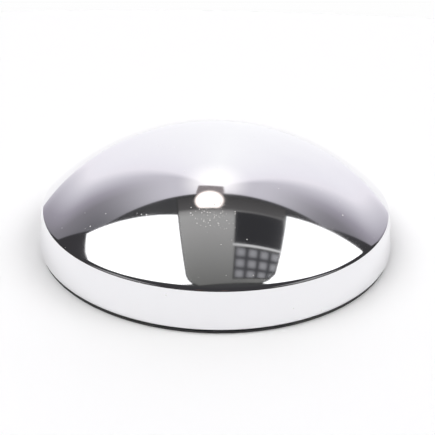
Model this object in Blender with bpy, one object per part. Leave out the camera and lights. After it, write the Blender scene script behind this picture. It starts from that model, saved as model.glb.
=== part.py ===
"""A chromed steel hub cap of the "moon" kind: a domed shell with a tapered skirt, a backing ring
inside its rolled edge, six riveted spring clips that grip a round hub, and a rubber seal.

Metres, +Z up. The origin is the middle of the seal's flat underside, which meets the wheel.
Outlines are (radius, height) points, and angles in them are measured from straight up.
"""

from math import acos, atan2, cos, pi, radians, sin

import bmesh
import bpy
from mathutils import Vector

# The cap as a whole.
BASE_DIAMETER = 0.2160  # over the rolled edge
OVERALL_HEIGHT = 0.0600
CREASE_HEIGHT = 0.0194  # where the skirt ends and its bend into the crown begins
SKIRT_TAPER = 0.0036  # how much narrower the skirt is at its top, on each side
SHEET = 0.0010
CREASE_RADIUS = 0.0040  # this and the roll's radius are on the outside of the bend
ROLL_RADIUS = 0.0017

# Neighbouring pieces keep this gap between their faces.
GAP = 0.0003

# Rubber seal under the lip.
SEAL_THICKNESS = 0.0012
SEAL_WIDTH = 0.0038
SEAL_SETBACK = 0.0006  # how far its outer edge lies inside the base diameter

# Backing ring, an angle section that lies on the lip and against the skirt.
RING_SHEET = 0.0012
RING_HEIGHT = 0.0110  # of its upright wall, from the flange's underside
SMALLEST_BEND = 0.0002

# Spring clips: a riveted foot, and a leg that leans in to a rounded knuckle.
CLIP_COUNT = 6
CLIP_SHEET = 0.0008
CLIP_WIDTH = 0.0150
FOOT_LENGTH = 0.0062
FOOT_SETBACK = 0.0016  # from the lip's inner edge to the foot's
FOOT_CORNER = 0.0015
FOOT_BEND_RADIUS = 0.0016  # this and the knuckle's radius are along the middle of the sheet
LEG_LENGTH = 0.0105  # its straight part
LEG_LEAN = radians(14.0)
KNUCKLE_RADIUS = 0.0025
TIP_LENGTH = 0.0040
TIP_LEAN = radians(35.0)
TIP_WIDTH = 0.0110

# Rivets, two to a clip.
RIVET_DIAMETER = 0.0032
RIVET_HEAD_DIAMETER = 0.0056
RIVET_HEAD_HEIGHT = 0.0014
RIVET_TAIL_HEIGHT = 0.0009  # the flattened end, in the space that the seal leaves
RIVET_SPACING = 0.0086
TAIL_CLEARANCE = 0.0006  # between the flattened ends and the seal

# Facets.
SEGMENTS_PER_CLIP = 10
CROWN_STEPS = 11
BEND_STEPS = 4
RIVET_SEGMENTS = 12
CREASE_ANGLE = radians(30.0)  # sharper edges than this are drawn sharp
WELD = 1e-6

# Heights of the stack at the rolled edge, from the wheel up.
LIP_UNDERSIDE = SEAL_THICKNESS + GAP
FLANGE_UNDERSIDE = LIP_UNDERSIDE + SHEET + GAP
FOOT_UNDERSIDE = FLANGE_UNDERSIDE + RING_SHEET + GAP
FOOT_TOP = FOOT_UNDERSIDE + CLIP_SHEET

# Radii of what lies on the lip and under it, from the seal inwards.
SEAL_OUTER = BASE_DIAMETER / 2 - SEAL_SETBACK
SEAL_INNER = SEAL_OUTER - SEAL_WIDTH
RIVET_CIRCLE = SEAL_INNER - TAIL_CLEARANCE - RIVET_HEAD_DIAMETER / 2
FOOT_INNER = RIVET_CIRCLE - FOOT_LENGTH / 2
LIP_INNER = FOOT_INNER - FOOT_SETBACK

CLIP_ANGLES = [2 * pi * i / CLIP_COUNT + pi / 2 for i in range(CLIP_COUNT)]
SEGMENTS = SEGMENTS_PER_CLIP * CLIP_COUNT


def skirt_draft(roll, crease):
    """The skirt's lean, which makes its straight line touch the outsides of both bends."""
    across = crease - roll
    return atan2(across.y, across.x) - acos((ROLL_RADIUS - CREASE_RADIUS) / across.length)


def crown_radius(crease):
    """The radius of the sphere that reaches OVERALL_HEIGHT and runs smoothly into the crease."""
    drop = crease.y - OVERALL_HEIGHT
    reach = CREASE_RADIUS**2 - crease.x**2 - drop**2
    return reach / (2 * (drop + CREASE_RADIUS))


ROLL_CENTRE = Vector((BASE_DIAMETER / 2 - ROLL_RADIUS, LIP_UNDERSIDE + ROLL_RADIUS))
CREASE_CENTRE = Vector((BASE_DIAMETER / 2 - SKIRT_TAPER - CREASE_RADIUS, CREASE_HEIGHT))
DRAFT = skirt_draft(ROLL_CENTRE, CREASE_CENTRE)
CROWN_RADIUS = crown_radius(CREASE_CENTRE)
CROWN_CENTRE = Vector((0.0, OVERALL_HEIGHT - CROWN_RADIUS))
CROWN_ANGLE = atan2(CREASE_CENTRE.x, CREASE_CENTRE.y - CROWN_CENTRE.y)


def arc(centre, radius, start, end, steps):
    """Points along an arc, both ends included."""
    angles = [start + (end - start) * i / steps for i in range(steps + 1)]
    return [centre + radius * Vector((sin(a), cos(a))) for a in angles]


def skirt_point(depth, height):
    """The point this deep inside the skirt's outer face, at this height."""
    foot = ROLL_CENTRE + (ROLL_RADIUS - depth) * Vector((cos(DRAFT), sin(DRAFT)))
    return Vector((foot.x - (height - foot.y) * sin(DRAFT) / cos(DRAFT), height))


def shell_face(depth):
    """One face of the shell's sheet, from the crown's middle to the lip's inner edge."""
    crown = arc(CROWN_CENTRE, CROWN_RADIUS - depth, 0, CROWN_ANGLE, CROWN_STEPS)
    crease = arc(CREASE_CENTRE, CREASE_RADIUS - depth, CROWN_ANGLE, pi / 2 - DRAFT, BEND_STEPS)
    widest = arc(ROLL_CENTRE, ROLL_RADIUS - depth, pi / 2 - DRAFT, pi / 2, 1)
    roll = arc(ROLL_CENTRE, ROLL_RADIUS - depth, pi / 2, pi, BEND_STEPS)
    lip = Vector((LIP_INNER, LIP_UNDERSIDE + depth))
    return [*crown, *crease[1:], *widest, *roll[1:], lip]


def ring_outline():
    """The backing ring's angle section, nested in the rolled edge."""
    outside = SHEET + GAP
    inside = outside + RING_SHEET
    top = FLANGE_UNDERSIDE + RING_HEIGHT
    inner_bend = max(ROLL_RADIUS - inside, SMALLEST_BEND)
    inner_centre = skirt_point(inside + inner_bend, FLANGE_UNDERSIDE + RING_SHEET + inner_bend)
    outer = arc(ROLL_CENTRE, ROLL_RADIUS - outside, pi, pi / 2 - DRAFT, BEND_STEPS)
    inner = arc(inner_centre, inner_bend, pi / 2 - DRAFT, pi, BEND_STEPS)
    rim = [skirt_point(outside, top), skirt_point(inside, top)]
    flange_top = Vector((LIP_INNER, inner[-1].y))
    return [Vector((LIP_INNER, FLANGE_UNDERSIDE)), *outer, *rim, *inner, flange_top]


def seal_outline():
    """The seal's flat section."""
    bottom = [(SEAL_INNER, 0.0), (SEAL_OUTER, 0.0)]
    top = [(SEAL_OUTER, SEAL_THICKNESS), (SEAL_INNER, SEAL_THICKNESS)]
    return [Vector(corner) for corner in bottom + top]


def rivet_outline():
    """Half a rivet, from the middle of its flattened tail to the top of its head."""
    tail_top = LIP_UNDERSIDE - GAP
    tail_bottom = tail_top - RIVET_TAIL_HEIGHT
    head_base = FOOT_TOP + GAP
    shank, head = RIVET_DIAMETER / 2, RIVET_HEAD_DIAMETER / 2
    lower = [(0.0, tail_bottom), (head, tail_bottom), (head, tail_top), (shank, tail_top), (shank, head_base)]
    turns = [pi / 2 * i / BEND_STEPS for i in range(BEND_STEPS + 1)]
    dome = [(head * cos(a), head_base + RIVET_HEAD_HEIGHT * sin(a)) for a in turns]
    return [Vector(point) for point in lower + dome]


def leg_path():
    """The middle of the leg's sheet, as (outwards, up) from the hinge line at the foot's edge."""
    turns = [(pi / 2 - LEG_LEAN) * i / BEND_STEPS for i in range(BEND_STEPS + 1)]
    points = [FOOT_BEND_RADIUS * Vector((-sin(a), 1 - cos(a))) for a in turns]
    points.append(points[-1] + LEG_LENGTH * Vector((-sin(LEG_LEAN), cos(LEG_LEAN))))
    turns = [-LEG_LEAN + (TIP_LEAN + LEG_LEAN) * i / BEND_STEPS for i in range(BEND_STEPS + 1)]
    centre = points[-1] + KNUCKLE_RADIUS * Vector((cos(turns[0]), -sin(turns[0])))
    points += [centre - KNUCKLE_RADIUS * Vector((cos(a), -sin(a))) for a in turns[1:]]
    points.append(points[-1] + TIP_LENGTH * Vector((sin(TIP_LEAN), cos(TIP_LEAN))))
    return points


def new_material(name, colour, metallic, roughness):
    material = bpy.data.materials.new(name)
    material.use_nodes = True
    shader = material.node_tree.nodes["Principled BSDF"]
    shader.inputs["Base Color"].default_value = (*colour, 1.0)
    shader.inputs["Metallic"].default_value = metallic
    shader.inputs["Roughness"].default_value = roughness
    material.diffuse_color = (*colour, 1.0)
    return material


def new_mesh(name, bm, material=None):
    bmesh.ops.recalc_face_normals(bm, faces=bm.faces)
    mesh = bpy.data.meshes.new(name)
    bm.to_mesh(mesh)
    bm.free()
    mesh.shade_smooth()
    mesh.set_sharp_from_angle(angle=CREASE_ANGLE)
    if material:
        mesh.materials.append(material)
    return mesh


def new_object(name, mesh, place=(0.0, 0.0, 0.0), turn=0.0):
    made = bpy.data.objects.new(name, mesh)
    bpy.context.scene.collection.objects.link(made)
    made.location = place
    made.rotation_euler.z = turn
    return made


def turned_mesh(name, outline, material, segments=SEGMENTS, hollow=False):
    """An outline spun about Z. A hollow one goes round a section, and others run from axis to axis."""
    bm = bmesh.new()
    verts = [bm.verts.new((p.x, 0.0, p.y)) for p in outline]
    edges = [bm.edges.new(pair) for pair in zip(verts, verts[1:])]
    if hollow:
        edges.append(bm.edges.new((verts[-1], verts[0])))
    bmesh.ops.spin(
        bm, geom=verts + edges, axis=(0, 0, 1), cent=(0, 0, 0), steps=segments, angle=2 * pi, use_merge=True
    )
    bmesh.ops.remove_doubles(bm, verts=bm.verts, dist=WELD)
    return new_mesh(name, bm, material)


def around(radius, angle, height=0.0, across=0.0):
    """The point at this radius, angle and height, moved sideways by across."""
    outward = Vector((cos(angle), sin(angle), 0))
    sideways = Vector((-sin(angle), cos(angle), 0))
    return radius * outward + across * sideways + Vector((0, 0, height))


def rivet_places():
    """Each rivet's clip number, letter, place and turn."""
    for number, angle in enumerate(CLIP_ANGLES, 1):
        for letter, side in (("a", -1), ("b", 1)):
            yield number, letter, around(RIVET_CIRCLE, angle, across=side * RIVET_SPACING / 2), angle


def rivet_hole_cutter():
    """A round bar for each rivet, which together cut the holes in the lip, the ring and the feet."""
    bm = bmesh.new()
    bottom, top = LIP_UNDERSIDE - 2 * GAP, FOOT_TOP + 2 * GAP
    radius = RIVET_DIAMETER / 2 + GAP
    for _, _, place, _ in rivet_places():
        bar = bmesh.ops.create_cone(
            bm, cap_ends=True, segments=RIVET_SEGMENTS, radius1=radius, radius2=radius, depth=top - bottom
        )
        bmesh.ops.translate(bm, verts=bar["verts"], vec=place + Vector((0, 0, (top + bottom) / 2)))
    cutter = new_object("rivet_hole_cutter", new_mesh("rivet_hole_cutter", bm))
    cutter.hide_render = True
    cutter.display_type = "WIRE"
    return cutter


def drill(target, cutter):
    holes = target.modifiers.new("rivet_holes", "BOOLEAN")
    holes.operation = "DIFFERENCE"
    holes.object = cutter


def foot_mesh(material):
    """A clip's flat foot: a plate with its outer corners rounded, and its inner end at X = 0."""
    bm = bmesh.new()
    half = CLIP_WIDTH / 2
    corners = [(0, -half), (FOOT_LENGTH, -half), (FOOT_LENGTH, half), (0, half)]
    bm.faces.new([bm.verts.new((x, y, 0)) for x, y in corners])
    outer = [v for v in bm.verts if v.co.x > FOOT_LENGTH / 2]
    bmesh.ops.bevel(bm, geom=outer, offset=FOOT_CORNER, segments=BEND_STEPS, profile=0.5, affect="VERTICES")
    raised = bmesh.ops.extrude_face_region(bm, geom=list(bm.faces))["geom"]
    raised_verts = [item for item in raised if isinstance(item, bmesh.types.BMVert)]
    bmesh.ops.translate(bm, verts=raised_verts, vec=(0, 0, CLIP_SHEET))
    return new_mesh("clip_foot", bm, material)


def leg_mesh(material):
    """A clip's leg as a strip along leg_path, which narrows along its straight part."""
    bm = bmesh.new()
    path = leg_path()
    widths = [CLIP_WIDTH] * (BEND_STEPS + 1) + [TIP_WIDTH] * (len(path) - BEND_STEPS - 1)
    rows = [[bm.verts.new((p.x, side * w / 2, p.y)) for side in (-1, 1)] for p, w in zip(path, widths)]
    for low, high in zip(rows, rows[1:]):
        bm.faces.new((low[0], low[1], high[1], high[0]))
    return new_mesh("clip_leg", bm, material)


def thicken(target):
    sheet = target.modifiers.new("sheet", "SOLIDIFY")
    sheet.thickness = CLIP_SHEET
    sheet.offset = 0.0
    sheet.use_even_offset = True


def build_cap(cutter):
    """The shell, the backing ring and the seal."""
    chrome = new_material("chrome_plate", (0.82, 0.82, 0.84), 1.0, 0.05)
    zinc = new_material("zinc_plate", (0.60, 0.61, 0.62), 1.0, 0.35)
    rubber = new_material("seal_rubber", (0.02, 0.02, 0.02), 0.0, 0.75)
    shell_outline = shell_face(0.0) + shell_face(SHEET)[::-1]
    drill(new_object("dome_shell", turned_mesh("dome_shell", shell_outline, chrome)), cutter)
    drill(new_object("backing_ring", turned_mesh("backing_ring", ring_outline(), zinc, hollow=True)), cutter)
    new_object("rubber_seal", turned_mesh("rubber_seal", seal_outline(), rubber, hollow=True))


def build_clips(cutter):
    """The clips and their rivets. Each leg's origin is on the line that it hinges about."""
    spring_steel = new_material("spring_steel", (0.23, 0.24, 0.27), 1.0, 0.30)
    rivet_steel = new_material("rivet_steel", (0.55, 0.55, 0.56), 1.0, 0.30)
    foot = foot_mesh(spring_steel)
    leg = leg_mesh(spring_steel)
    rivet = turned_mesh("rivet", rivet_outline(), rivet_steel, RIVET_SEGMENTS)
    hinge_height = FOOT_UNDERSIDE + CLIP_SHEET / 2
    for number, angle in enumerate(CLIP_ANGLES, 1):
        foot_place = around(FOOT_INNER, angle, FOOT_UNDERSIDE)
        hinge_place = around(FOOT_INNER - GAP, angle, hinge_height)
        drill(new_object(f"clip_{number}_foot", foot, foot_place, angle), cutter)
        thicken(new_object(f"clip_{number}_leg", leg, hinge_place, angle))
    for number, letter, place, angle in rivet_places():
        new_object(f"clip_{number}_rivet_{letter}", rivet, place, angle)


def build():
    for old in list(bpy.data.objects):
        bpy.data.objects.remove(old)
    cutter = rivet_hole_cutter()
    build_cap(cutter)
    build_clips(cutter)


build()
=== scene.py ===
"""The finished look of a chromed "moon" hub cap: shell, backing ring, seal, spring clips and rivets,
on a pale table under a light tent with two overhead softboxes.

Metres, +Z up, in the CAD frame. Outlines are (radius, height) points, and angles in them are
measured from straight up.
"""

from math import acos, atan2, cos, pi, radians, sin

import bmesh
import bpy
from mathutils import Matrix, Vector


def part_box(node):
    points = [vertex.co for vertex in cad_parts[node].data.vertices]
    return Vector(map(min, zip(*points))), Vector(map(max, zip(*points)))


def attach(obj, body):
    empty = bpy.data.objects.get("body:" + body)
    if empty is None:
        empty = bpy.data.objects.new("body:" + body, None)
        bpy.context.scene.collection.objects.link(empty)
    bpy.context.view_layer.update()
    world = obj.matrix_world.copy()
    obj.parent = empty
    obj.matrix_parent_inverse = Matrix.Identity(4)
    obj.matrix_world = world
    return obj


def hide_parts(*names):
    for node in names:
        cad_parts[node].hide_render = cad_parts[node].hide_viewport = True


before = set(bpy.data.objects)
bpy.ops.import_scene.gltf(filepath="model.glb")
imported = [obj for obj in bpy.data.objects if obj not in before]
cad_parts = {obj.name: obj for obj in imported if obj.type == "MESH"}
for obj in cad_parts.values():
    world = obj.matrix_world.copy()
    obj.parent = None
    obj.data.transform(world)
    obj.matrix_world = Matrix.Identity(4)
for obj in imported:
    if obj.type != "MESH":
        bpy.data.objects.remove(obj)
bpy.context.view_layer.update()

# ---------------------------------------------------------------------------------------------
# Sizes
# ---------------------------------------------------------------------------------------------

# Read from the frame.
SHELL_LOW, SHELL_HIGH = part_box("dome_shell")
SEAL_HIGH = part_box("rubber_seal")[1]
BASE_RADIUS = SHELL_HIGH.x
CROWN_TOP = SHELL_HIGH.z
LIP_UNDERSIDE = SHELL_LOW.z
RING_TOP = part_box("backing_ring")[1].z
SEAL_TOP = SEAL_HIGH.z
SEAL_OUTER = SEAL_HIGH.x

# The shell's bends and sheet, as in the CAD. Radii of bends are on the outside of the bend.
CREASE_HEIGHT = 0.0194
SKIRT_TAPER = 0.0036
SHEET = 0.0010
CREASE_RADIUS = 0.0040
ROLL_RADIUS = 0.0017
GAP = 0.0003

# Seal, ring, clips and rivets, as in the CAD.
SEAL_WIDTH = 0.0038
SEAL_CORNER = 0.00025
GROOVE_HALF = 0.00045
GROOVE_DEPTH = 0.00030
RING_SHEET = 0.0012
SMALLEST_BEND = 0.0002
CLIP_COUNT = 6
CLIP_SHEET = 0.0008
CLIP_WIDTH = 0.0150
FOOT_LENGTH = 0.0062
FOOT_SETBACK = 0.0016
FOOT_CORNER = 0.0015
FOOT_BEND_RADIUS = 0.0016
LEG_LENGTH = 0.0105
LEG_LEAN = radians(14.0)
KNUCKLE_RADIUS = 0.0025
TIP_LENGTH = 0.0040
TIP_LEAN = radians(35.0)
TIP_WIDTH = 0.0110
TIP_CORNER = 0.0022
RIVET_DIAMETER = 0.0032
RIVET_HEAD_DIAMETER = 0.0056
RIVET_HEAD_HEIGHT = 0.0014
RIVET_TAIL_HEIGHT = 0.0009
RIVET_DIMPLE_RADIUS = 0.0009
RIVET_DIMPLE_DEPTH = 0.00045
RIVET_DOME_START = radians(8.0)
RIVET_SPACING = 0.0086
TAIL_CLEARANCE = 0.0006

# Worked out from the sizes above.
FLANGE_UNDERSIDE = LIP_UNDERSIDE + SHEET + GAP
FOOT_UNDERSIDE = FLANGE_UNDERSIDE + RING_SHEET + GAP
FOOT_TOP = FOOT_UNDERSIDE + CLIP_SHEET
SEAL_INNER = SEAL_OUTER - SEAL_WIDTH
RIVET_CIRCLE = SEAL_INNER - TAIL_CLEARANCE - RIVET_HEAD_DIAMETER / 2
FOOT_INNER = RIVET_CIRCLE - FOOT_LENGTH / 2
LIP_INNER = FOOT_INNER - FOOT_SETBACK
CLIP_ANGLES = [2 * pi * i / CLIP_COUNT + pi / 2 for i in range(CLIP_COUNT)]

# How finely round shapes are divided.
ROUND_STEPS = 240
CROWN_STEPS = 48
BEND_STEPS = 14
SKIRT_STEPS = 10
LIP_STEPS = 6
WIDEST_STEPS = 3
LEG_STEPS = 4
SEAL_CORNER_STEPS = 4
TIP_CORNER_STEPS = 6
SMALL_BEND_STEPS = 8
RIVET_STEPS = 32
EDGE_ROUND = 0.00012
SHARP_ANGLE = radians(35.0)
WELD = 1e-6


# ---------------------------------------------------------------------------------------------
# Outlines
# ---------------------------------------------------------------------------------------------

def arc(centre, radius, start, end, steps):
    """Points along an arc, both ends included."""
    angles = [start + (end - start) * i / steps for i in range(steps + 1)]
    return [centre + radius * Vector((sin(a), cos(a))) for a in angles]


def skirt_draft(roll, crease):
    """The skirt's lean, which makes its straight line touch the outsides of both bends."""
    across = crease - roll
    return atan2(across.y, across.x) - acos((ROLL_RADIUS - CREASE_RADIUS) / across.length)


ROLL_CENTRE = Vector((BASE_RADIUS - ROLL_RADIUS, LIP_UNDERSIDE + ROLL_RADIUS))
CREASE_CENTRE = Vector((BASE_RADIUS - SKIRT_TAPER - CREASE_RADIUS, CREASE_HEIGHT))
DRAFT = skirt_draft(ROLL_CENTRE, CREASE_CENTRE)
CREASE_DROP = CREASE_CENTRE.y - CROWN_TOP
CROWN_REACH = CREASE_RADIUS**2 - CREASE_CENTRE.x**2 - CREASE_DROP**2
CROWN_RADIUS = CROWN_REACH / (2 * (CREASE_DROP + CREASE_RADIUS))
CROWN_CENTRE = Vector((0.0, CROWN_TOP - CROWN_RADIUS))
CROWN_ANGLE = atan2(CREASE_CENTRE.x, CREASE_CENTRE.y - CROWN_CENTRE.y)


def eased(start, end, steps):
    """Points along a straight line, closer together towards both ends."""
    return [start.lerp(end, 0.5 - 0.5 * cos(pi * i / steps)) for i in range(steps + 1)]


def shell_outline():
    """The shell's outer face, from the crown's middle to the lip's inner edge."""
    turns = [CROWN_ANGLE * sin(pi / 2 * i / CROWN_STEPS) for i in range(CROWN_STEPS + 1)]
    crown = [CROWN_CENTRE + CROWN_RADIUS * Vector((sin(a), cos(a))) for a in turns]
    crease = arc(CREASE_CENTRE, CREASE_RADIUS, CROWN_ANGLE, pi / 2 - DRAFT, BEND_STEPS)
    to_widest = arc(ROLL_CENTRE, ROLL_RADIUS, pi / 2 - DRAFT, pi / 2, WIDEST_STEPS)
    roll = arc(ROLL_CENTRE, ROLL_RADIUS, pi / 2, pi, BEND_STEPS)
    skirt = eased(crease[-1], to_widest[0], SKIRT_STEPS)
    lip = eased(roll[-1], Vector((LIP_INNER, LIP_UNDERSIDE)), LIP_STEPS)
    return [*crown, *crease[1:], *skirt[1:], *to_widest[1:], *roll[1:], *lip[1:]]


def rounded(corners, radius, steps):
    """A closed outline with its corners rounded off."""
    points = []
    for before, corner, after in zip(corners[-1:] + corners[:-1], corners, corners[1:] + corners[:1]):
        back = (before - corner).normalized()
        ahead = (after - corner).normalized()
        reach = min(radius, (before - corner).length / 2.2, (after - corner).length / 2.2)
        start, end = corner + reach * back, corner + reach * ahead
        for i in range(steps + 1):
            t = i / steps
            points.append((1 - t) ** 2 * start + 2 * t * (1 - t) * corner + t**2 * end)
    return points


def skirt_point(depth, height):
    """The point this deep inside the skirt's outer face, at this height."""
    foot = ROLL_CENTRE + (ROLL_RADIUS - depth) * Vector((cos(DRAFT), sin(DRAFT)))
    return Vector((foot.x - (height - foot.y) * sin(DRAFT) / cos(DRAFT), height))


def ring_outline():
    """The backing ring's angle section, nested in the rolled edge, with its raw edges broken."""
    outside = SHEET + GAP
    inside = outside + RING_SHEET
    top = RING_TOP
    bend = max(ROLL_RADIUS - inside, SMALLEST_BEND)
    bend_centre = skirt_point(inside + bend, FLANGE_UNDERSIDE + RING_SHEET + bend)
    outer = arc(ROLL_CENTRE, ROLL_RADIUS - outside, pi, pi / 2 - DRAFT, BEND_STEPS)
    inner = arc(bend_centre, bend, pi / 2 - DRAFT, pi, BEND_STEPS)
    rim = [skirt_point(outside, top - EDGE_ROUND), skirt_point(outside + EDGE_ROUND, top)]
    rim += [skirt_point(inside - EDGE_ROUND, top), skirt_point(inside, top - EDGE_ROUND)]
    lip_low, lip_high = FLANGE_UNDERSIDE, inner[-1].y
    edge = [(LIP_INNER + EDGE_ROUND, lip_high), (LIP_INNER, lip_high - EDGE_ROUND)]
    edge += [(LIP_INNER, lip_low + EDGE_ROUND), (LIP_INNER + EDGE_ROUND, lip_low)]
    return [*outer, *rim, *inner, *[Vector(point) for point in edge]]


def seal_outline():
    """The seal's flat section: rounded edges, and a shallow groove along the face that meets the wheel."""
    middle = (SEAL_INNER + SEAL_OUTER) / 2
    corners = [(SEAL_INNER, 0.0), (middle - GROOVE_HALF, 0.0), (middle - GROOVE_HALF / 2, GROOVE_DEPTH)]
    corners += [(middle + GROOVE_HALF / 2, GROOVE_DEPTH), (middle + GROOVE_HALF, 0.0), (SEAL_OUTER, 0.0)]
    corners += [(SEAL_OUTER, SEAL_TOP), (SEAL_INNER, SEAL_TOP)]
    return rounded([Vector(corner) for corner in corners], SEAL_CORNER, SEAL_CORNER_STEPS)


def rivet_outline():
    """Half a rivet: a rolled tail with a dimple, the shank, and a domed head with a broken edge."""
    tail_top = LIP_UNDERSIDE - GAP
    tail_bottom = tail_top - RIVET_TAIL_HEIGHT
    head_base = FOOT_TOP + GAP
    shank, head = RIVET_DIAMETER / 2, RIVET_HEAD_DIAMETER / 2
    dimple, dimple_depth = RIVET_DIMPLE_RADIUS, RIVET_DIMPLE_DEPTH
    lower = [(0.0, tail_bottom + dimple_depth), (dimple * 0.6, tail_bottom + dimple_depth * 0.8)]
    lower += [(dimple, tail_bottom + EDGE_ROUND), (dimple * 1.25, tail_bottom)]
    rim = arc(Vector((head - RIVET_TAIL_HEIGHT / 2, tail_bottom + RIVET_TAIL_HEIGHT / 2)),
              RIVET_TAIL_HEIGHT / 2, pi, 0, SMALL_BEND_STEPS)
    body = [(shank, tail_top), (shank, head_base), (head - EDGE_ROUND, head_base)]
    rise = (pi / 2 - RIVET_DOME_START) / SMALL_BEND_STEPS
    turns = [RIVET_DOME_START + rise * i for i in range(SMALL_BEND_STEPS + 1)]
    dome = [(head * cos(a), head_base + RIVET_HEAD_HEIGHT * sin(a)) for a in turns]
    dome[-1] = (0.0, head_base + RIVET_HEAD_HEIGHT)
    return [Vector(point) for point in [*lower, *rim, *body, *dome]]


def leg_path():
    """The middle of the leg's sheet, as (outwards, up) from the hinge line at the foot's edge."""
    turns = [(pi / 2 - LEG_LEAN) * i / SMALL_BEND_STEPS for i in range(SMALL_BEND_STEPS + 1)]
    bend = [FOOT_BEND_RADIUS * Vector((-sin(a), 1 - cos(a))) for a in turns]
    knee = bend[-1] + LEG_LENGTH * Vector((-sin(LEG_LEAN), cos(LEG_LEAN)))
    turns = [-LEG_LEAN + (TIP_LEAN + LEG_LEAN) * i / SMALL_BEND_STEPS for i in range(SMALL_BEND_STEPS + 1)]
    centre = knee + KNUCKLE_RADIUS * Vector((cos(turns[0]), -sin(turns[0])))
    knuckle = [centre - KNUCKLE_RADIUS * Vector((cos(a), -sin(a))) for a in turns]
    end = knuckle[-1] + TIP_LENGTH * Vector((sin(TIP_LEAN), cos(TIP_LEAN)))
    return bend, eased(bend[-1], knee, LEG_STEPS)[1:-1], knuckle, end


# ---------------------------------------------------------------------------------------------
# Modelling
# ---------------------------------------------------------------------------------------------

def deselect():
    bpy.ops.object.select_all(action="DESELECT")


def only(piece):
    """Makes this the one selected and active object."""
    deselect()
    piece.select_set(True)
    bpy.context.view_layer.objects.active = piece


def pick(piece, kind, test):
    """In edit mode, selects the verts, edges or faces whose middle passes the test, and nothing else."""
    bpy.ops.mesh.select_mode(type=kind)
    bpy.ops.mesh.select_all(action="DESELECT")
    shape = bmesh.from_edit_mesh(piece.data)
    items = {"VERT": shape.verts, "EDGE": shape.edges, "FACE": shape.faces}[kind]
    for item in items:
        corners = [item] if kind == "VERT" else item.verts
        middle = sum((v.co for v in corners), Vector()) / len(corners)
        if test(middle, item):
            item.select_set(True)
    shape.select_flush_mode()
    bmesh.update_edit_mesh(piece.data)


def start_point(name, place):
    """A new mesh in edit mode that is one selected point: a small square merged at its middle."""
    deselect()
    bpy.ops.mesh.primitive_plane_add(size=SHEET, enter_editmode=True)
    piece = bpy.context.object
    piece.name = piece.data.name = name
    bpy.ops.mesh.select_mode(type="VERT")
    bpy.ops.mesh.merge(type="CENTER")
    bpy.ops.transform.translate(value=place)
    return piece


def turned(name, outline, steps, closed):
    """Draws an outline point by point and spins it about Z. A closed one goes round a section."""
    place = Vector((outline[0].x, 0.0, outline[0].y))
    piece = start_point(name, place)
    for point in outline[1:]:
        step = Vector((point.x, 0.0, point.y)) - place
        bpy.ops.mesh.extrude_vertices_move(TRANSFORM_OT_translate={"value": step})
        place = Vector((point.x, 0.0, point.y))
    if closed:
        last = len(outline) - 1
        pick(piece, "VERT", lambda middle, vert: vert.index in (0, last))
        bpy.ops.mesh.edge_face_add()
    bpy.ops.mesh.select_all(action="SELECT")
    bpy.ops.mesh.spin(steps=steps, angle=2 * pi, center=(0, 0, 0), axis=(0, 0, 1), use_auto_merge=True)
    clean()
    bpy.ops.object.mode_set(mode="OBJECT")
    return piece


def clean():
    """In edit mode, merges doubles and turns the faces outwards."""
    bpy.ops.mesh.select_all(action="SELECT")
    bpy.ops.mesh.remove_doubles(threshold=WELD)
    bpy.ops.mesh.normals_make_consistent(inside=False)


def apply_modifier(piece, kind, **settings):
    only(piece)
    modifier = piece.modifiers.new(kind.lower(), kind)
    for name, value in settings.items():
        setattr(modifier, name, value)
    bpy.ops.object.modifier_apply(modifier=modifier.name)


def smooth(piece, angle=SHARP_ANGLE):
    only(piece)
    bpy.ops.object.shade_smooth_by_angle(angle=angle)


def finish_piece(piece, body, node, slot, *materials):
    """Gives a piece its materials, and lets it ride on its body in its CAD node's place."""
    for material in materials:
        piece.data.materials.append(material)
    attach(piece, body)
    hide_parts(node)


def turned_copy(piece, name, angle):
    """A copy with its own mesh, turned about Z."""
    made = piece.copy()
    made.data = piece.data.copy()
    made.name = made.data.name = name
    made.data.transform(Matrix.Rotation(angle, 4, "Z"))
    bpy.context.scene.collection.objects.link(made)
    return made


def rivet_offsets():
    """Each rivet's letter and place beside the clip that points along +X."""
    for letter, side in (("a", -1), ("b", 1)):
        yield letter, Vector((RIVET_CIRCLE, side * RIVET_SPACING / 2, 0.0))


def rivet_hole_bars():
    """A round bar for each rivet, to cut the holes in the lip, the ring and the feet."""
    bottom, top = LIP_UNDERSIDE - 2 * GAP, FOOT_TOP + 2 * GAP
    bars = []
    for angle in CLIP_ANGLES:
        for _, place in rivet_offsets():
            deselect()
            spot = Matrix.Rotation(angle, 3, "Z") @ place
            bpy.ops.mesh.primitive_cylinder_add(
                vertices=RIVET_STEPS, radius=RIVET_DIAMETER / 2 + GAP, depth=top - bottom,
                location=(spot.x, spot.y, (top + bottom) / 2))
            bars.append(bpy.context.object)
    deselect()
    for bar in bars:
        bar.select_set(True)
    bpy.context.view_layer.objects.active = bars[0]
    bpy.ops.object.join()
    bpy.ops.object.transform_apply(location=True, rotation=True, scale=True)
    return bars[0]


def build_shell(bars, chrome, inside):
    """The drawn shell. Its inner face is duller than the polished outside."""
    shell = turned("chromed_shell", shell_outline(), ROUND_STEPS, closed=False)
    apply_modifier(shell, "SOLIDIFY", thickness=SHEET, offset=-1.0, use_even_offset=True,
                   material_offset=1, material_offset_rim=1)
    apply_modifier(shell, "BOOLEAN", operation="DIFFERENCE", object=bars)
    smooth(shell)
    finish_piece(shell, "cap", "dome_shell", "chrome_plate", chrome, inside)


def build_ring(bars, zinc):
    ring = turned("angle_ring", ring_outline(), ROUND_STEPS, closed=True)
    apply_modifier(ring, "BOOLEAN", operation="DIFFERENCE", object=bars)
    smooth(ring)
    finish_piece(ring, "cap", "backing_ring", "zinc_plate", zinc)


def build_seal(rubber):
    seal = turned("seal_band", seal_outline(), ROUND_STEPS, closed=True)
    smooth(seal)
    finish_piece(seal, "cap", "rubber_seal", "seal_rubber", rubber)


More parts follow.
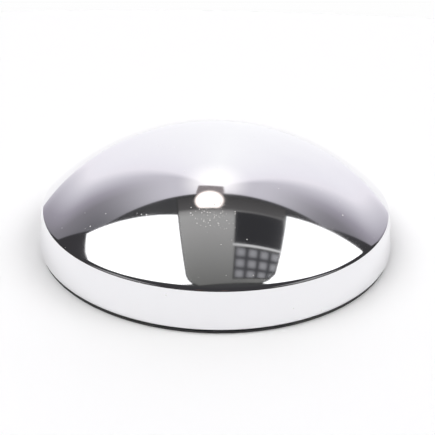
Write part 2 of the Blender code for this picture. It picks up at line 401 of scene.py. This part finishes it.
def clip_foot():
    """A foot that points along +X: a plate with its outer corners rounded and every edge broken."""
    deselect()
    middle = (FOOT_INNER + FOOT_LENGTH / 2, 0.0, FOOT_UNDERSIDE + CLIP_SHEET / 2)
    bpy.ops.mesh.primitive_cube_add(size=1, location=middle, scale=(FOOT_LENGTH, CLIP_WIDTH, CLIP_SHEET))
    foot = bpy.context.object
    foot.name = foot.data.name = "plain_foot"
    bpy.ops.object.transform_apply(location=True, rotation=True, scale=True)
    bpy.ops.object.mode_set(mode="EDIT")
    outer = FOOT_INNER + FOOT_LENGTH * 0.9

    def outer_corner(point, edge):
        upright = abs(edge.verts[0].co.z - edge.verts[1].co.z) > CLIP_SHEET / 2
        return upright and point.x > outer

    pick(foot, "EDGE", outer_corner)
    bpy.ops.mesh.bevel(offset=FOOT_CORNER, segments=SMALL_BEND_STEPS, affect="EDGES")
    clean()
    bpy.ops.object.mode_set(mode="OBJECT")
    return foot


def clip_leg():
    """A leg that points along +X: a strip drawn along its path, narrowed, thickened and edge-broken."""
    bend, straight, knuckle, end = leg_path()
    hinge = Vector((FOOT_INNER - GAP, 0.0, FOOT_UNDERSIDE + CLIP_SHEET / 2))
    deselect()
    bpy.ops.mesh.primitive_plane_add(size=CLIP_WIDTH, enter_editmode=True)
    leg = bpy.context.object
    leg.name = leg.data.name = "plain_leg"
    pick(leg, "VERT", lambda point, vert: point.x > 0)
    bpy.ops.mesh.delete(type="VERT")
    bpy.ops.mesh.select_all(action="SELECT")
    bpy.ops.transform.translate(value=hinge + Vector((CLIP_WIDTH / 2, 0.0, 0.0)))
    width, place = CLIP_WIDTH, bend[0]
    spans = len(straight) + 1
    shares = [1 + (TIP_WIDTH / CLIP_WIDTH - 1) * i / spans for i in range(1, spans + 1)]
    widths = [CLIP_WIDTH] * (len(bend) - 1) + [CLIP_WIDTH * s for s in shares]
    widths += [TIP_WIDTH] * len(knuckle)
    for point, wanted in zip([*bend[1:], *straight, *knuckle, end], widths):
        step = Vector((point.x - place.x, 0.0, point.y - place.y))
        bpy.ops.mesh.extrude_edges_move(TRANSFORM_OT_translate={"value": step})
        if wanted != width:
            middle = hinge + Vector((point.x, 0.0, point.y))
            bpy.ops.transform.resize(value=(1, wanted / width, 1), center_override=middle)
        width, place = wanted, point
    tip_height = hinge.z + end.y - TIP_LENGTH / 10
    pick(leg, "VERT", lambda point, vert: point.z > tip_height)
    bpy.ops.mesh.bevel(offset=TIP_CORNER, segments=TIP_CORNER_STEPS, affect="VERTICES")
    clean()
    bpy.ops.object.mode_set(mode="OBJECT")
    apply_modifier(leg, "SOLIDIFY", thickness=CLIP_SHEET, offset=0.0, use_even_offset=True)
    return leg


def break_edges(piece):
    apply_modifier(piece, "BEVEL", width=EDGE_ROUND, segments=2, limit_method="ANGLE",
                   angle_limit=SHARP_ANGLE)
    smooth(piece)


def build_clips(bars, steel, rivet_steel):
    """Six clips, each a riveted foot, a leg on its own hinge, and two rivets."""
    foot, leg = clip_foot(), clip_leg()
    rivet = turned("plain_rivet", rivet_outline(), RIVET_STEPS, closed=False)
    break_edges(leg)
    smooth(rivet)
    for number, angle in enumerate(CLIP_ANGLES, 1):
        made = turned_copy(foot, f"foot_{number}", angle)
        apply_modifier(made, "BOOLEAN", operation="DIFFERENCE", object=bars)
        break_edges(made)
        finish_piece(made, "cap", f"clip_{number}_foot", "spring_steel", steel)
        made = turned_copy(leg, f"leg_{number}", angle)
        finish_piece(made, f"clip_{number}_leg", f"clip_{number}_leg", "spring_steel", steel)
        for letter, place in rivet_offsets():
            made = turned_copy(rivet, f"rivet_{number}_{letter}", 0.0)
            made.data.transform(Matrix.Rotation(angle, 4, "Z") @ Matrix.Translation(place))
            finish_piece(made, "cap", f"clip_{number}_rivet_{letter}", "rivet_steel", rivet_steel)
    for pattern in (foot, leg, rivet):
        bpy.data.objects.remove(pattern)


# ---------------------------------------------------------------------------------------------
# Shader helpers
# ---------------------------------------------------------------------------------------------

def plug(tree, value, socket):
    """Feeds a socket: with another socket by a link, or with a plain value."""
    if isinstance(value, bpy.types.NodeSocket):
        tree.links.new(value, socket)
    else:
        socket.default_value = value


def maths(tree, operation, *values, clamp=False):
    node = tree.nodes.new("ShaderNodeMath")
    node.operation = operation
    node.use_clamp = clamp
    for value, socket in zip(values, node.inputs):
        plug(tree, value, socket)
    return node.outputs[0]


def vector_maths(tree, operation, *values):
    node = tree.nodes.new("ShaderNodeVectorMath")
    node.operation = operation
    for value, socket in zip(values, node.inputs):
        plug(tree, value, socket)
    return node.outputs["Value" if operation in ("DOT_PRODUCT", "LENGTH", "DISTANCE") else "Vector"]


def ease_between(tree, value, low, high, start=0.0, end=1.0):
    """Runs smoothly from start to end while the value goes from low to high."""
    node = tree.nodes.new("ShaderNodeMapRange")
    node.interpolation_type = "SMOOTHSTEP"
    given = {"Value": value, "From Min": low, "From Max": high, "To Min": start, "To Max": end}
    for name, setting in given.items():
        plug(tree, setting, node.inputs[name])
    return node.outputs["Result"]


def mixed(tree, share, first, second, blend="MIX"):
    """Mixes two colours."""
    node = tree.nodes.new("ShaderNodeMix")
    node.data_type = "RGBA"
    node.blend_type = blend
    plug(tree, share, node.inputs["Factor"])
    plug(tree, first, node.inputs[6])
    plug(tree, second, node.inputs[7])
    return node.outputs[2]


def ramp(tree, value, stops, smooth_steps=True):
    """A colour ramp from (place, colour) stops."""
    node = tree.nodes.new("ShaderNodeValToRGB")
    band = node.color_ramp
    band.interpolation = "EASE" if smooth_steps else "LINEAR"
    band.elements.remove(band.elements[0])
    band.elements[0].position = stops[0][0]
    band.elements[0].color = (*stops[0][1], 1.0)
    for place, colour in stops[1:]:
        band.elements.new(place).color = (*colour, 1.0)
    plug(tree, value, node.inputs["Fac"])
    return node.outputs["Color"]


def noise(tree, point, scale, detail=2.0, roughness=0.5, distortion=0.0):
    node = tree.nodes.new("ShaderNodeTexNoise")
    plug(tree, point, node.inputs["Vector"])
    given = {"Scale": scale, "Detail": detail, "Roughness": roughness, "Distortion": distortion}
    for name, setting in given.items():
        plug(tree, setting, node.inputs[name])
    return node.outputs["Fac"]


def bump(tree, height, distance, strength=1.0, normal=None):
    node = tree.nodes.new("ShaderNodeBump")
    node.inputs["Strength"].default_value = strength
    node.inputs["Distance"].default_value = distance
    plug(tree, height, node.inputs["Height"])
    if normal:
        plug(tree, normal, node.inputs["Normal"])
    return node.outputs["Normal"]


def new_group(name, inputs, outputs):
    """A shader node group with float inputs and their defaults, and outputs given as (name, kind)."""
    group = bpy.data.node_groups.new(name, "ShaderNodeTree")
    group.interface.new_socket("Point", in_out="INPUT", socket_type="NodeSocketVector")
    for label, value in inputs:
        group.interface.new_socket(label, in_out="INPUT", socket_type="NodeSocketFloat").default_value = value
    for label, kind in outputs:
        group.interface.new_socket(label, in_out="OUTPUT", socket_type=kind)
    return group, group.nodes.new("NodeGroupInput"), group.nodes.new("NodeGroupOutput")


def use_group(tree, group, point, **values):
    node = tree.nodes.new("ShaderNodeGroup")
    node.node_tree = group
    plug(tree, point, node.inputs["Point"])
    for label, value in values.items():
        plug(tree, value, node.inputs[label.replace("_", " ")])
    return node.outputs


def new_material(name, colour, metallic, roughness):
    """A material with its Principled shader, and the object's own coordinates."""
    material = bpy.data.materials.new(name)
    material.use_nodes = True
    material.diffuse_color = (*colour, 1.0)
    tree = material.node_tree
    shader = tree.nodes["Principled BSDF"]
    shader.inputs["Base Color"].default_value = (*colour, 1.0)
    shader.inputs["Metallic"].default_value = metallic
    shader.inputs["Roughness"].default_value = roughness
    return material, tree, shader, tree.nodes.new("ShaderNodeTexCoord").outputs["Object"]


# ---------------------------------------------------------------------------------------------
# Shared surface effects
# ---------------------------------------------------------------------------------------------

def turned_marks_group():
    """Fine lines that run round the Z axis, as polishing or rolling leaves them."""
    group, given, out = new_group("turned_marks", [("Fineness", 4000.0)], [("Height", "NodeSocketFloat")])
    split = group.nodes.new("ShaderNodeSeparateXYZ")
    plug(group, given.outputs["Point"], split.inputs[0])
    x, y, z = split.outputs
    squares = [maths(group, "MULTIPLY", part, part) for part in (x, y)]
    radius = maths(group, "SQRT", maths(group, "ADD", *squares))
    angle = maths(group, "ARCTAN2", y, x)
    join = group.nodes.new("ShaderNodeCombineXYZ")
    plug(group, maths(group, "MULTIPLY", radius, given.outputs["Fineness"]), join.inputs[0])
    plug(group, maths(group, "MULTIPLY", maths(group, "COSINE", angle), 3.0), join.inputs[1])
    plug(group, maths(group, "MULTIPLY", z, given.outputs["Fineness"]), join.inputs[2])
    plug(group, noise(group, join.outputs[0], 1.0, detail=2.0), out.inputs["Height"])
    return group


def specks_group():
    """Scattered dust specks of uneven size."""
    sockets = [("Specks", "NodeSocketFloat")]
    group, given, out = new_group("dust_specks", [("Scale", 400.0), ("Size", 0.16), ("Share", 0.15)], sockets)
    cells = group.nodes.new("ShaderNodeTexVoronoi")
    plug(group, given.outputs["Point"], cells.inputs["Vector"])
    plug(group, given.outputs["Scale"], cells.inputs["Scale"])
    split = group.nodes.new("ShaderNodeSeparateColor")
    plug(group, cells.outputs["Color"], split.inputs[0])
    reach = maths(group, "MULTIPLY", given.outputs["Size"], maths(group, "ADD", split.outputs[1], 0.4))
    core = maths(group, "MULTIPLY", reach, 0.6)
    inside = ease_between(group, cells.outputs["Distance"], core, reach, 1.0, 0.0)
    chosen = maths(group, "LESS_THAN", split.outputs[0], given.outputs["Share"])
    plug(group, maths(group, "MULTIPLY", inside, chosen), out.inputs["Specks"])
    return group


def haze_group():
    """Cloudy patches where fingers and cloths have dulled a surface."""
    group, given, out = new_group("handling_haze", [("Scale", 18.0)], [("Haze", "NodeSocketFloat")])
    point, scale = given.outputs["Point"], given.outputs["Scale"]
    clouds = noise(group, point, scale, detail=4.0, roughness=0.6, distortion=0.6)
    plug(group, ease_between(group, clouds, 0.42, 0.75), out.inputs["Haze"])
    return group


def edge_wear_group():
    """Bright, broken-up wear where the surface is sharply convex."""
    group, given, out = new_group("edge_wear", [("Scale", 900.0)], [("Wear", "NodeSocketFloat")])
    pointiness = group.nodes.new("ShaderNodeNewGeometry").outputs["Pointiness"]
    edge = ease_between(group, pointiness, 0.52, 0.58)
    broken = noise(group, given.outputs["Point"], given.outputs["Scale"], detail=3.0)
    patches = ease_between(group, broken, 0.35, 0.6)
    plug(group, maths(group, "MULTIPLY", edge, patches), out.inputs["Wear"])
    return group


def build_effects():
    return {
        "marks": turned_marks_group(),
        "specks": specks_group(),
        "haze": haze_group(),
        "wear": edge_wear_group(),
    }


# ---------------------------------------------------------------------------------------------
# Materials
# ---------------------------------------------------------------------------------------------

DUST_PATCH = Vector((-0.002, -0.073, 0.0423))
DUST_PATCH_CORE = 0.002
DUST_PATCH_REACH = 0.014


def chrome_plate(effects):
    """Mirror-bright plate: faint haze, dust that lies thicker in one patch, polishing lines, slight waves."""
    material, tree, shader, point = new_material("chrome_plate", (0.87, 0.87, 0.885), 1.0, 0.05)
    haze = use_group(tree, effects["haze"], point, Scale=14.0)["Haze"]
    specks = use_group(tree, effects["specks"], point, Scale=420.0, Size=0.15, Share=0.10)["Specks"]
    clean_colour = mixed(tree, haze, (0.875, 0.875, 0.89, 1.0), (0.855, 0.855, 0.875, 1.0))
    near_patch = vector_maths(tree, "DISTANCE", point, DUST_PATCH)
    patch = ease_between(tree, near_patch, DUST_PATCH_CORE, DUST_PATCH_REACH, 0.7, 0.0)
    settled = use_group(tree, effects["specks"], point, Scale=1000.0, Size=0.32, Share=patch)["Specks"]
    specks = maths(tree, "MAXIMUM", specks, settled)
    plug(tree, mixed(tree, specks, clean_colour, (0.95, 0.94, 0.92, 1.0)), shader.inputs["Base Color"])
    hazed = maths(tree, "MULTIPLY_ADD", haze, 0.030, 0.045)
    plug(tree, maths(tree, "MULTIPLY_ADD", specks, 0.35, hazed), shader.inputs["Roughness"])
    marks = use_group(tree, effects["marks"], point, Fineness=2600.0)["Height"]
    waves = noise(tree, point, 26.0, detail=1.0)
    waved = bump(tree, waves, 0.000012)
    plug(tree, bump(tree, marks, 0.0000004, normal=waved), shader.inputs["Normal"])
    return material


def shell_inside(effects):
    """The shell's back: thin, dull plate over the drawn sheet, with draw lines and stains."""
    material, tree, shader, point = new_material("dull_plate", (0.60, 0.60, 0.60), 1.0, 0.35)
    haze = use_group(tree, effects["haze"], point, Scale=30.0)["Haze"]
    tones = mixed(tree, haze, (0.63, 0.63, 0.64, 1.0), (0.50, 0.49, 0.47, 1.0))
    plug(tree, tones, shader.inputs["Base Color"])
    plug(tree, maths(tree, "MULTIPLY_ADD", haze, 0.18, 0.26), shader.inputs["Roughness"])
    marks = use_group(tree, effects["marks"], point, Fineness=1400.0)["Height"]
    plug(tree, bump(tree, marks, 0.000008), shader.inputs["Normal"])
    return material


def zinc_plate(effects):
    """Satin zinc with faint crystal patches, rolling lines and brighter edges."""
    material, tree, shader, point = new_material("zinc_plate", (0.60, 0.61, 0.62), 1.0, 0.35)
    crystals = tree.nodes.new("ShaderNodeTexVoronoi")
    plug(tree, point, crystals.inputs["Vector"])
    crystals.inputs["Scale"].default_value = 260.0
    split = tree.nodes.new("ShaderNodeSeparateColor")
    plug(tree, crystals.outputs["Color"], split.inputs[0])
    wear = use_group(tree, effects["wear"], point, Scale=700.0)["Wear"]
    patches = mixed(tree, split.outputs[0], (0.55, 0.56, 0.57, 1.0), (0.66, 0.67, 0.68, 1.0))
    plug(tree, mixed(tree, wear, patches, (0.78, 0.78, 0.78, 1.0)), shader.inputs["Base Color"])
    plug(tree, maths(tree, "MULTIPLY_ADD", split.outputs[1], 0.14, 0.28), shader.inputs["Roughness"])
    marks = use_group(tree, effects["marks"], point, Fineness=1800.0)["Height"]
    plug(tree, bump(tree, marks, 0.000006), shader.inputs["Normal"])
    return material


def spring_steel(effects):
    """Blued steel: blue-black with bronze patches, bright where edges have rubbed."""
    material, tree, shader, point = new_material("spring_steel", (0.23, 0.24, 0.27), 1.0, 0.30)
    tint = noise(tree, point, 120.0, detail=3.0, roughness=0.6)
    tones = [(0.30, (0.13, 0.15, 0.21)), (0.50, (0.22, 0.23, 0.27)), (0.70, (0.30, 0.26, 0.23))]
    blued = ramp(tree, tint, tones)
    wear = use_group(tree, effects["wear"], point, Scale=900.0)["Wear"]
    plug(tree, mixed(tree, wear, blued, (0.58, 0.57, 0.56, 1.0)), shader.inputs["Base Color"])
    haze = use_group(tree, effects["haze"], point, Scale=90.0)["Haze"]
    plug(tree, maths(tree, "MULTIPLY_ADD", haze, 0.20, 0.24), shader.inputs["Roughness"])
    grain = noise(tree, point, 3200.0, detail=2.0)
    plug(tree, bump(tree, grain, 0.000005), shader.inputs["Normal"])
    return material


def rivet_steel(effects):
    """Plain steel with hammer-dulled patches."""
    material, tree, shader, point = new_material("rivet_steel", (0.55, 0.55, 0.56), 1.0, 0.30)
    haze = use_group(tree, effects["haze"], point, Scale=420.0)["Haze"]
    tones = mixed(tree, haze, (0.58, 0.58, 0.59, 1.0), (0.44, 0.43, 0.42, 1.0))
    plug(tree, tones, shader.inputs["Base Color"])
    plug(tree, maths(tree, "MULTIPLY_ADD", haze, 0.22, 0.24), shader.inputs["Roughness"])
    dents = noise(tree, point, 1500.0, detail=2.0)
    plug(tree, bump(tree, dents, 0.00002), shader.inputs["Normal"])
    return material


def seal_rubber(effects):
    """Matt black rubber with a greyish bloom, dust and a fine moulded grain."""
    material, tree, shader, point = new_material("seal_rubber", (0.02, 0.02, 0.02), 0.0, 0.75)
    bloom = use_group(tree, effects["haze"], point, Scale=60.0)["Haze"]
    specks = use_group(tree, effects["specks"], point, Scale=900.0, Size=0.2, Share=0.12)["Specks"]
    dusty = mixed(tree, bloom, (0.045, 0.045, 0.046, 1.0), (0.085, 0.083, 0.080, 1.0))
    plug(tree, mixed(tree, specks, dusty, (0.20, 0.19, 0.18, 1.0)), shader.inputs["Base Color"])
    plug(tree, maths(tree, "MULTIPLY_ADD", bloom, 0.12, 0.70), shader.inputs["Roughness"])
    grain = noise(tree, point, 2600.0, detail=2.0)
    plug(tree, bump(tree, grain, 0.00002), shader.inputs["Normal"])
    return material


# ---------------------------------------------------------------------------------------------
# Table, room and camera
# ---------------------------------------------------------------------------------------------

TABLE_RADIUS = 1.6
TABLE_DROP = 0.00005
TABLE_COLOUR = (0.94, 0.94, 0.94)
BACKDROP = (0.99, 0.99, 0.99, 1.0)


def build_table():
    """A wide pale table, just under the seal."""
    deselect()
    place = (0, 0, -TABLE_DROP)
    bpy.ops.mesh.primitive_circle_add(vertices=96, radius=TABLE_RADIUS, fill_type="NGON", location=place)
    table = bpy.context.object
    table.name = "table"
    material, tree, shader, point = new_material("table_top", TABLE_COLOUR, 0.0, 0.9)
    shader.inputs["Specular IOR Level"].default_value = 0.1
    grain = noise(tree, point, 30.0, detail=2.0)
    tones = mixed(tree, grain, (0.935, 0.935, 0.935, 1.0), (0.945, 0.945, 0.945, 1.0))
    plug(tree, tones, shader.inputs["Base Color"])
    table.data.materials.append(material)


# The room over the cap, as the mirror sees it. Corners are on a ceiling one unit up: (right, back).
LEFT_SOFTBOX = [
    (-1.36, 0.44), (-0.10, 0.115), (0.00, -0.47), (-0.60, -0.475), (-1.00, -0.47), (-1.25, -0.30),
    (-1.40, 0.20)]
RIGHT_SOFTBOX = [(0.30, 0.205), (1.90, 0.545), (1.75, -0.30), (1.10, -0.50), (0.20, -0.41)]
GREY_GAP = [
    (-0.289, 0.34), (0.553, 0.34), (0.546, 0.235), (0.521, -0.136), (0.506, -0.331), (0.45, -0.405),
    (0.38, -0.445), (-0.13, -0.500), (-0.190, -0.470), (-0.222, -0.430), (-0.236, -0.389)]
DARK_PANEL = [(0.137, 0.179), (0.522, 0.202), (0.525, -0.106), (0.135, -0.108)]
LIGHT_STRIP = [(0.130, -0.108), (0.530, -0.104), (0.530, -0.120), (0.130, -0.124)]
VENT_GRID = [(0.140, -0.130), (0.522, -0.126), (0.500, -0.324), (0.452, -0.388), (0.140, -0.420)]
VENT_CORNER = (0.144, -0.132)
VENT_PITCH = 0.0945
LAMP_SHADE = [(-0.128, 0.462), (0.05, 0.445), (0.058, 0.349), (-0.147, 0.354)]
LAMP = (-0.048, 0.28)
LAMP_BASE = [(-0.3, 0.6), (0.3, 0.6), (0.3, 0.202), (-0.3, 0.206)]
FRONT_LAMPS = [(-0.55, -3.6), (0.35, -3.6)]
LEFT_SIDE_PANEL = [(-6.0, -1.2), (-1.9, -1.1), (-1.9, -3.2), (-6.0, -5.2)]
RIGHT_SIDE_PANEL = [(1.9, -1.1), (6.0, -1.2), (6.0, -5.2), (1.9, -3.2)]
GLOW = (-0.01, 0.50)
SWEEP_FRONT = (0.0, 0.42)

# The sweep fans out from this lean towards the back, and is brightest this far to the right of it.
TENT_FAN = 0.42
TENT_TURN = radians(4.5)
TENT_CLOSING = radians(18.0)
TENT_EDGES = [(0.0, 1.0, -0.36), (0.5, 1.0, 0.20), (-0.42, 1.0, 0.05)]

# Strengths. The mirrored room is held to MIRRORED_MOST, which keeps the bright panels' edges smooth.
SOFTBOX_LIGHT = 4.6
MIRRORED_MOST = 1.5
EDGE_SOFTNESS = 0.006
FRAME_WIDTH = 0.010


def grey(value):
    return (value, value, value, 1.0)


def overhead(corner):
    return Vector((corner[0], corner[1], 1.0))


def inside_panel(tree, direction, corners, inset=0.0):
    """1 where a direction falls inside a flat panel, given by its corners in turn, clockwise from above."""
    mask = None
    for first, second in zip(corners, corners[1:] + corners[:1]):
        inward = overhead(second).cross(overhead(first)).normalized()
        depth = vector_maths(tree, "DOT_PRODUCT", direction, inward)
        side = ease_between(tree, depth, inset - EDGE_SOFTNESS / 2, inset + EDGE_SOFTNESS / 2)
        mask = side if mask is None else maths(tree, "MULTIPLY", mask, side)
    return mask


def near(tree, direction, spot, full, gone):
    """1 close to a spot overhead, easing to 0 away from it."""
    away = vector_maths(tree, "DISTANCE", direction, overhead(spot).normalized())
    return ease_between(tree, away, full, gone, 1.0, 0.0)


def tent_light(tree, x, y, z):
    """The white sweep behind: brightest straight back, violet-grey at its sides, which close in low down."""
    lean = maths(tree, "SUBTRACT", y, maths(tree, "MULTIPLY", z, TENT_FAN))
    turn = maths(tree, "ABSOLUTE", maths(tree, "SUBTRACT", maths(tree, "ARCTAN2", x, lean), TENT_TURN))
    low_down = ease_between(tree, z, 0.0, 0.40, 1.0, 0.0)
    closing = ease_between(tree, turn, radians(10.0), radians(38.0), 0.0, TENT_CLOSING)
    share = maths(tree, "DIVIDE", maths(tree, "MULTIPLY_ADD", closing, low_down, turn), pi)
    stops = [
        (0.00, (1.06, 1.06, 1.08)), (0.14, (1.00, 0.99, 1.03)), (0.25, (0.94, 0.92, 0.98)),
        (0.285, (0.92, 0.89, 0.95)), (0.32, (0.70, 0.68, 0.74)), (0.345, (0.57, 0.55, 0.61)),
        (0.385, (0.36, 0.34, 0.39)), (0.43, (0.23, 0.22, 0.245)), (0.55, (0.12, 0.12, 0.13)),
    ]
    return ramp(tree, share, stops, smooth_steps=False)


def vent_light(tree, x, y, z):
    """Soft light through a ceiling grille: four cells by three, with blurred bars between them."""
    cells = None
    for along, start in zip((x, y), VENT_CORNER):
        spot = maths(tree, "DIVIDE", along, z)
        spot = maths(tree, "DIVIDE", maths(tree, "SUBTRACT", spot, start), VENT_PITCH)
        wave = maths(tree, "ABSOLUTE", maths(tree, "SINE", maths(tree, "MULTIPLY", spot, pi)))
        open_part = ease_between(tree, wave, 0.0, 1.0)
        cells = open_part if cells is None else maths(tree, "MULTIPLY", cells, open_part)
    return mixed(tree, cells, (0.06, 0.06, 0.065, 1.0), (0.31, 0.31, 0.325, 1.0))


def build_room():
    """What the chrome mirrors: a light tent, softboxes, a lamp, a ceiling vent and a dark room in front."""
    world = bpy.data.worlds.new("studio")
    bpy.context.scene.world = world
    world.use_nodes = True
    tree = world.node_tree
    tree.nodes.clear()
    direction = tree.nodes.new("ShaderNodeTexCoord").outputs["Generated"]
    split = tree.nodes.new("ShaderNodeSeparateXYZ")
    plug(tree, direction, split.inputs[0])
    x, y, z = split.outputs

    dark_stops = [(0.0, (0.050, 0.048, 0.050)), (0.5, (0.045, 0.043, 0.047)), (1.0, (0.06, 0.06, 0.062))]
    dark_room = ramp(tree, z, dark_stops)
    in_tent = None
    for line in TENT_EDGES:
        depth = vector_maths(tree, "DOT_PRODUCT", direction, Vector(line).normalized())
        side = ease_between(tree, depth, -EDGE_SOFTNESS, EDGE_SOFTNESS)
        in_tent = side if in_tent is None else maths(tree, "MULTIPLY", in_tent, side)
    tent = tent_light(tree, x, y, z)
    front_light = near(tree, direction, SWEEP_FRONT, 0.25, 0.85)
    tent = mixed(tree, front_light, tent, (0.62, 0.60, 0.655, 1.0), "LIGHTEN")
    tent = mixed(tree, near(tree, direction, GLOW, 0.0, 0.26), tent, (1.3, 1.27, 1.27, 1.0))
    room = mixed(tree, in_tent, dark_room, tent)

    gap_stops = [
        (0.17, (0.172, 0.172, 0.166)), (0.36, (0.28, 0.28, 0.272)), (0.50, (0.356, 0.352, 0.345)),
        (0.60, (0.38, 0.378, 0.37)), (0.635, (0.30, 0.295, 0.29)), (0.655, (0.10, 0.097, 0.097)),
        (0.75, (0.06, 0.058, 0.058)),
    ]
    gap_light = ramp(tree, maths(tree, "MULTIPLY_ADD", y, 0.8, 0.5), gap_stops, smooth_steps=False)

    def paint(corners, light, inset=0.0):
        return mixed(tree, inside_panel(tree, direction, corners, inset), room, light)

    for corners in (LEFT_SIDE_PANEL, RIGHT_SIDE_PANEL):
        room = paint(corners, grey(0.30))
    for corners in (LEFT_SOFTBOX, RIGHT_SOFTBOX):
        room = paint(corners, grey(SOFTBOX_LIGHT))
    room = paint(GREY_GAP, grey(0.05))
    room = paint(GREY_GAP, gap_light, FRAME_WIDTH)
    room = paint(DARK_PANEL, (0.035, 0.035, 0.038, 1.0))
    room = paint(LIGHT_STRIP, grey(0.75))
    room = paint(VENT_GRID, grey(0.045))
    room = paint(VENT_GRID, vent_light(tree, x, y, z), FRAME_WIDTH)
    room = paint(LAMP_SHADE, (0.27, 0.24, 0.245, 1.0))
    lamp = near(tree, direction, LAMP, 0.085, 0.107)
    lamp = maths(tree, "MULTIPLY", lamp, inside_panel(tree, direction, LAMP_BASE))
    room = mixed(tree, lamp, room, (1.6, 1.42, 1.34, 1.0))
    for spot in FRONT_LAMPS:
        room = mixed(tree, near(tree, direction, spot, 0.015, 0.05), room, (0.20, 0.11, 0.085, 1.0))

    path = tree.nodes.new("ShaderNodeLightPath").outputs
    mirrored = mixed(tree, 1.0, room, grey(MIRRORED_MOST), "DARKEN")
    lit = tree.nodes.new("ShaderNodeBackground")
    plug(tree, mixed(tree, path["Is Glossy Ray"], room, mirrored), lit.inputs["Color"])
    plain = tree.nodes.new("ShaderNodeBackground")
    plain.inputs["Color"].default_value = BACKDROP
    choice = tree.nodes.new("ShaderNodeMixShader")
    plug(tree, path["Is Camera Ray"], choice.inputs[0])
    tree.links.new(lit.outputs[0], choice.inputs[1])
    tree.links.new(plain.outputs[0], choice.inputs[2])
    tree.links.new(choice.outputs[0], tree.nodes.new("ShaderNodeOutputWorld").inputs["Surface"])


CAMERA_DISTANCE = 0.3067
CAMERA_ELEVATION = radians(28.367)
CAMERA_AIM_RIGHT = radians(0.196)
CAMERA_AIM_UP = radians(0.274)
CAMERA_ROLL = radians(0.955)
CAMERA_LENS = 39.10


def build_camera():
    """A close camera that looks down at the cap from the front."""
    camera = bpy.data.objects.new("camera", bpy.data.cameras.new("camera"))
    bpy.context.scene.collection.objects.link(camera)
    camera.data.lens = CAMERA_LENS
    camera.data.clip_start = 0.01
    camera.location = CAMERA_DISTANCE * Vector((0.0, -cos(CAMERA_ELEVATION), sin(CAMERA_ELEVATION)))
    aim = Matrix.Rotation(pi / 2 - CAMERA_ELEVATION, 3, "X") @ Matrix.Rotation(-CAMERA_AIM_RIGHT, 3, "Y")
    aim = aim @ Matrix.Rotation(CAMERA_AIM_UP, 3, "X") @ Matrix.Rotation(CAMERA_ROLL, 3, "Z")
    camera.rotation_euler = aim.to_euler()
    bpy.context.scene.camera = camera


def build():
    build_camera()
    build_table()
    build_room()
    bpy.context.scene.view_settings.view_transform = "Standard"
    effects = build_effects()
    bars = rivet_hole_bars()
    build_shell(bars, chrome_plate(effects), shell_inside(effects))
    build_ring(bars, zinc_plate(effects))
    build_seal(seal_rubber(effects))
    build_clips(bars, spring_steel(effects), rivet_steel(effects))
    bpy.data.objects.remove(bars)


build()
